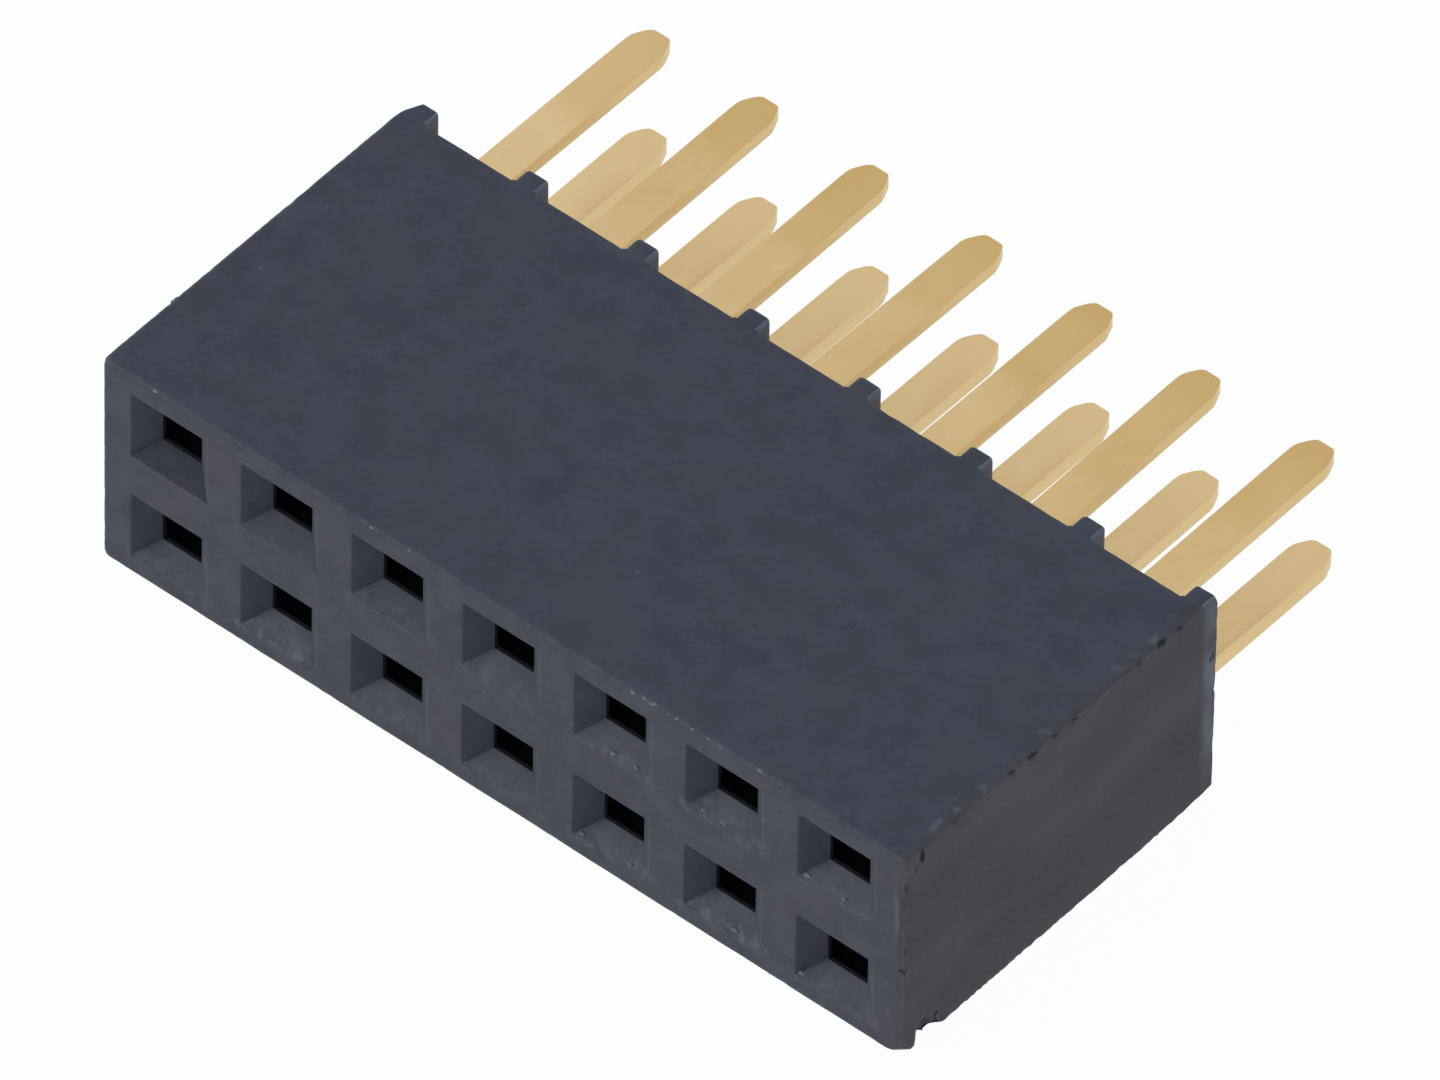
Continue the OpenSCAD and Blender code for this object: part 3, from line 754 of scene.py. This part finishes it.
# Tapers: the tail is as wide as the lesser of its chamfer and its full width, smoothed where they
# meet and rounded at the corners of its tip, and the leaves narrow towards their tips
to_end = TAIL_TIP - t
tip, corner, shoulder = (np.where(s < 0, *sides) for sides in (TIP_HALF, TIP_CORNER, TIP_SHOULDER))
chamfer = tip + (TAIL_HALF - tip) * to_end / TIP_LENGTH
tip_half = (chamfer + TAIL_HALF - np.hypot(chamfer - TAIL_HALF, shoulder)) / 2
tip_half -= corner * (1 - np.sqrt(1 - np.clip(1 - to_end / corner, 0, 1) ** 2))
s = np.where(on_tail, s * np.minimum(tip_half + SHOULDER_LOSS, TAIL_HALF) / TAIL_HALF, s)
narrow = 1 - (1 - LEAF_TIP_HALF / LEAF_HALF) * np.clip((-t - HALF) / leaf_path.total, 0, 1)
s = np.where(on_leaf, side * (LEAF_MID + (np.abs(s) - LEAF_MID) * narrow), s)

# Folding: the blank is wrapped over its two folds, then tail and leaves follow their paths
size = np.abs(s)
fold = np.clip((size - BASE_HALF) / FOLD_RADIUS, 0, np.pi / 2)
x_fold = np.minimum(size, BASE_HALF) + (FOLD_RADIUS - w) * np.sin(fold)
z_fold = BASE_Z + FOLD_RADIUS - (FOLD_RADIUS - w) * np.cos(fold) + np.maximum(size - FOLD_END, 0)
tail_ahead, tail_up = tail_path.at(np.clip(t - HALF, 0, None), w)
leaf_ahead, leaf_in = leaf_path.at(np.clip(-t - HALF, 0, None), w)
contact_x = side * np.select([on_tail, on_leaf], [size, WALL_X - leaf_in], x_fold)
contact_y = np.select([on_tail, on_leaf], [CHANNEL_REAR + tail_ahead, CHANNEL_FRONT - leaf_ahead],
                      CHANNEL_FRONT + HALF + t)
contact_z = np.where(on_tail, BASE_Z + tail_up, z_fold)
contact_points = np.stack([contact_x, np.minimum(contact_y, TAIL_END), contact_z], axis=1)

# How near a point is to a sheared rim, how far out along the tail it is, and whether it is on the
# underside of the tail outside the housing
UNDER_START = 0.05
sheared = np.clip(np.abs(np.abs(w) - SHEET / 2) / SHEET_EDGE, 0, 1)
reach = np.clip((contact_y - BAY) / (TAIL_END - BAY), 0, 1)
under_tail = (w < 0) * np.clip(reach / UNDER_START, 0, 1)
contact_points, contact_quads, first = joined((contact_points, contact_quads))
sheared, reach, under_tail = sheared[first], reach[first], under_tail[first]

# How much painted light the tails of each row and of a few single contacts get, standing in for light on
# them, how deep the shears left a burr under its tails, and how far the tips of some tails have been
# knocked sideways
PAINTED_LIGHT = {"a": 0.05, "b": 0.45, "a1": 0.25}
BURR = {"a": 0.0, "b": 0.035}
LEAN = {"a1": 0.03, "a4": 0.06, "a5": 0.04, "a6": -0.03,
        "b2": 0.02, "b3": 0.045, "b4": 0.035, "b5": 0.035, "b7": 0.02}

GOLD_DEEP = (0.54, 0.365, 0.14, 1)
GOLD_PALE = (0.65, 0.49, 0.255, 1)
GOLD_SHEARED_PAINTED_LIGHT = (0.70, 0.53, 0.25, 1)
GOLD_PAINTED_LIGHT = (0.78, 0.63, 0.38, 1)
GOLD_GRAIN_DEPTH = 0.003
material, tree, shader = new_material("gold_plate")
tone = toned(tree, patch_scale=500.0, grain_scale=24000.0, grain_stretch=0.04)
mask = masks(tree, ("sheared", "reach", "painted_light"))
gold = mixed(tree, ramp(tree, tone["Patch"], 0.3, 0.7), GOLD_DEEP, GOLD_PALE)
gold = mixed(tree, ramp(tree, mask["reach"], 0.05, 0.6, 0.6, 0.0), gold, GOLD_PALE)
gold = mixed(tree, ramp(tree, mask["reach"], 0.5, 1.0, 0.0, 0.9), gold, GOLD_DEEP)
# Painted light: tails are lightened towards a pale gold by their painted light value
gold = mixed(tree, mask["painted_light"], gold, GOLD_PAINTED_LIGHT)
# Painted light: the sheared sides of the tails are painted brighter, standing in for the light on them
gold = mixed(tree, ramp(tree, mask["sheared"], 0.3, 0.9, 0.0, 0.8), gold, GOLD_SHEARED_PAINTED_LIGHT)
tree.links.new(gold, shader.inputs["Base Color"])
shader.inputs["Metallic"].default_value = 1.0
tree.links.new(ramp(tree, tone["Grain"], 0.2, 0.8, 0.34, 0.48), shader.inputs["Roughness"])
bump = node(tree, "ShaderNodeBump", {"Height": tone["Grain"]},
            inputs={"Strength": 0.25, "Distance": GOLD_GRAIN_DEPTH * MM})
tree.links.new(bump.outputs[0], shader.inputs["Normal"])
for row, row_z in zip("ab", ROW_Z):
    for column, column_x in enumerate(COLUMN_X, 1):
        place = np.array([column_x, FRONT, row_z])
        sideways = LEAN.get(f"{row}{column}", 0.0) * reach
        bent = np.stack([sideways, 0 * reach, -BURR[row] * under_tail], axis=1)
        painted_light = 0 * reach + PAINTED_LIGHT.get(f"{row}{column}", PAINTED_LIGHT[row])
        contact = piece(f"folded_contact_{row}{column}", contact_points + bent + place, contact_quads,
                        {"sheared": sheared, "reach": reach, "painted_light": painted_light})
        contact.data.materials.append(material)
        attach(contact, "root")
        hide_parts(f"contact_{row}{column}")

# Floor: a plain white sheet under the part, wide enough to fill every view. It shows as white to
# the camera and in the metal, and keeps part of the shadow that the part throws on it.
FLOOR_HALF, FLOOR_DROP = 400.0, 0.002
FLOOR_LINES = 9
FLOOR_WHITE = 0.97
FLOOR_LIT = (0.84, 0.80, 0.76, 1)
WHITE = (1, 1, 1, 1)
floor_line = np.linspace(-FLOOR_HALF, FLOOR_HALF, FLOOR_LINES)
u, v = np.meshgrid(floor_line, floor_line, indexing="ij")
floor_points = np.stack([u, v, 0 * u - FLOOR_DROP], axis=-1).reshape(-1, 3)
grid = np.arange(FLOOR_LINES ** 2).reshape(FLOOR_LINES, FLOOR_LINES)
floor_quads = np.stack([grid[:-1, :-1], grid[1:, :-1], grid[1:, 1:], grid[:-1, 1:]], axis=-1)
floor = piece("floor_sheet", floor_points, floor_quads.reshape(-1, 4))
material = bpy.data.materials.new("white_sheet")
tree = empty_tree(material)


def seen_directly(tree):
    """One for camera, mirror and glass rays, and nought for the rays that only carry light."""
    path = node(tree, "ShaderNodeLightPath").outputs
    first = node(tree, "ShaderNodeMath", {0: path["Is Camera Ray"], 1: path["Is Glossy Ray"]},
                 operation="MAXIMUM")
    return node(tree, "ShaderNodeMath", {0: first.outputs[0], 1: path["Is Transmission Ray"]},
                operation="MAXIMUM").outputs[0]


lit = node(tree, "ShaderNodeBsdfDiffuse", inputs={"Color": FLOOR_LIT})
white = node(tree, "ShaderNodeEmission", inputs={"Color": WHITE, "Strength": 1.0})
share = node(tree, "ShaderNodeMath", {0: seen_directly(tree)}, operation="MULTIPLY",
             inputs={1: FLOOR_WHITE})
both = node(tree, "ShaderNodeMixShader", {0: share.outputs[0], 1: lit.outputs[0], 2: white.outputs[0]})
node(tree, "ShaderNodeOutputMaterial", {"Surface": both.outputs[0]})
floor.data.materials.append(material)

# Light: an even surround that shows as white and fills with a cool tone, and one large soft lamp
# from the front left, which is a little warm.
SURROUND_FILL = (0.41, 0.48, 0.64, 1)
LAMP_PLACE, LAMP_TARGET = np.array([-230.0, -220.0, 125.0]), np.array([0.0, 0.0, 2.0])
LAMP_SIZE, LAMP_WATTS, LAMP_COLOUR = 180, 0.52, (1.0, 0.95, 0.88)
world = bpy.data.worlds.new("white_surround")
bpy.context.scene.world = world
tree = empty_tree(world)
surround = mixed(tree, seen_directly(tree), SURROUND_FILL, WHITE)
sky = node(tree, "ShaderNodeBackground", {"Color": surround}, inputs={"Strength": 1.0})
node(tree, "ShaderNodeOutputWorld", {"Surface": sky.outputs[0]})


def set_up(name, data, place, right, back):
    """Object for a lamp or a camera at a place in millimetres, turned by its right and its back,
    with its upper side square to both."""
    turn = Matrix(np.stack([right, np.cross(back, right), back], axis=1).tolist()).to_4x4()
    obj = bpy.data.objects.new(name, data)
    obj.matrix_world = Matrix.Translation([value * MM for value in place]) @ turn
    bpy.context.scene.collection.objects.link(obj)
    return obj


lamp = bpy.data.lights.new("front_lamp", "AREA")
lamp.size = LAMP_SIZE * MM
lamp.energy = LAMP_WATTS
lamp.color = LAMP_COLOUR
back = LAMP_PLACE - LAMP_TARGET
back /= np.linalg.norm(back)
right = np.cross([0, 0, 1], back)
right /= np.linalg.norm(right)
set_up("front_lamp", lamp, LAMP_PLACE, right, back)

# Camera: a long lens from the front right, above, as in the photograph. Its aim is shifted right
# and up by a number of the image's pixels, so that the part sits in the frame as it does there.
AZIMUTH, ELEVATION, ROLL = np.radians([40.02, 47.04, 0.68])
DISTANCE, PIXELS_PER_MM = 456.0, 73.09
IMAGE_WIDTH, AIM_RIGHT, AIM_UP = 1440, 222.0, 165.8
TARGET_X, TARGET_RISE = -0.0414, 0.008
SENSOR_WIDTH = 36.0
target = np.array([TARGET_X, FRONT, WIDTH / 2 + TARGET_RISE])
right = np.array([np.cos(AZIMUTH), np.sin(AZIMUTH), 0])
ahead = np.array([-np.sin(AZIMUTH) * np.cos(ELEVATION), np.cos(AZIMUTH) * np.cos(ELEVATION),
                  -np.sin(ELEVATION)])
up = np.cross(right, ahead)
right, up = np.cos(ROLL) * right + np.sin(ROLL) * up, np.cos(ROLL) * up - np.sin(ROLL) * right
focal = PIXELS_PER_MM * DISTANCE
eye = target - DISTANCE * ahead
ahead = ahead + right * AIM_RIGHT / focal + up * AIM_UP / focal
ahead /= np.linalg.norm(ahead)
right -= ahead * right.dot(ahead)
right /= np.linalg.norm(right)
lens = bpy.data.cameras.new("long_lens")
lens.sensor_width = SENSOR_WIDTH
lens.lens = focal / IMAGE_WIDTH * SENSOR_WIDTH
lens.clip_start, lens.clip_end = 0.01, 20.0
bpy.context.scene.camera = set_up("camera", lens, eye, right, -ahead)
bpy.context.scene.view_settings.view_transform = "Standard"
